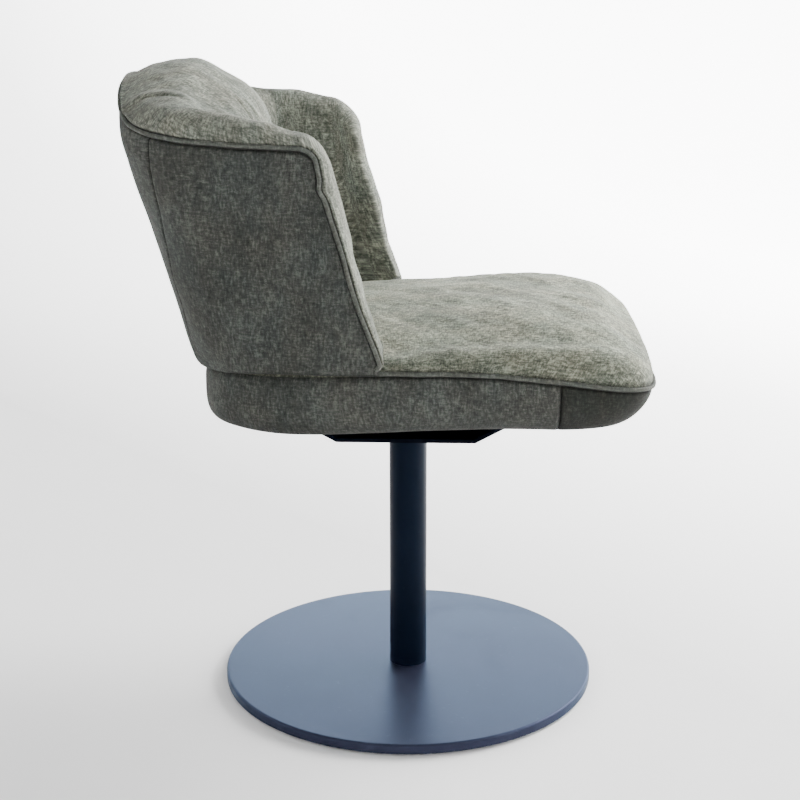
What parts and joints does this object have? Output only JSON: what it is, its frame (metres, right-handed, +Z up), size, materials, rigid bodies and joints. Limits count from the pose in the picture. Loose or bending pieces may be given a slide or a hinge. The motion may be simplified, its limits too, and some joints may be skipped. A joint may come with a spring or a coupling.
{
  "type": "swivel dining chair",
  "caption": "Upholstered tub chair with a crowned seat and a wrap-round backrest, free to swivel on a round steel column over a flat disc base.",
  "frame": {"origin": "on the floor, under the swivel axis, at the centre of the floor pad's underside", "axes": "+Z up along the column, -Y the way the sitter faces, +X to the sitter's left; the chair is a mirror image about X = 0"},
  "size_m": [0.5366, 0.6599, 0.8319],
  "materials": {
    "upholstery": "short-pile woven chenille, mottled grey-green, soft sheen",
    "dust_cloth": "black non-woven dust cloth",
    "foam": "cut polyurethane foam and polyester wadding",
    "plywood": "unfinished moulded birch plywood",
    "steel_black": "satin blue-black powder coat",
    "bare_steel": "zinc-plated steel",
    "plastic_black": "moulded black plastic"
  },
  "bodies": {
    "pedestal": {"base_floor_pad": "plastic_black", "base_disc": "steel_black", "column_tube": "steel_black", "column_foot_plug": "bare_steel", "column_bolt": "bare_steel", "column_bolt_washer": "bare_steel", "lower_bush": "plastic_black", "upper_bush": "plastic_black", "thrust_washer": "plastic_black"},
    "seat": {"swivel_spindle": "bare_steel", "spindle_washer": "bare_steel", "spindle_circlip": "bare_steel", "swivel_saddle": "steel_black", "saddle_bolts": "bare_steel", "saddle_nuts": "bare_steel", "seat_board": "plywood", "seat_dust_cover": "dust_cloth", "seat_foam": "foam", "seat_top_cover": "upholstery", "seat_front_border": "upholstery", "seat_side_border": "upholstery", "seat_piping": "upholstery", "back_brackets": "steel_black", "bracket_screws": "bare_steel", "bracket_bolts": "bare_steel", "bracket_nuts": "bare_steel", "backrest_shell": "plywood", "backrest_foam": "foam", "backrest_wadding": "foam", "back_outer_panel": "upholstery", "right_side_panel": "upholstery", "left_side_panel": "upholstery", "backrest_inner_cover": "upholstery", "backrest_piping": "upholstery"}
  },
  "joints": [
    {"name": "seat_swivel", "type": "hinge", "parent": "pedestal", "child": "seat", "pos_m": [0, 0, 0.3545], "axis": [0, 0, 1], "continuous": true}
  ]
}
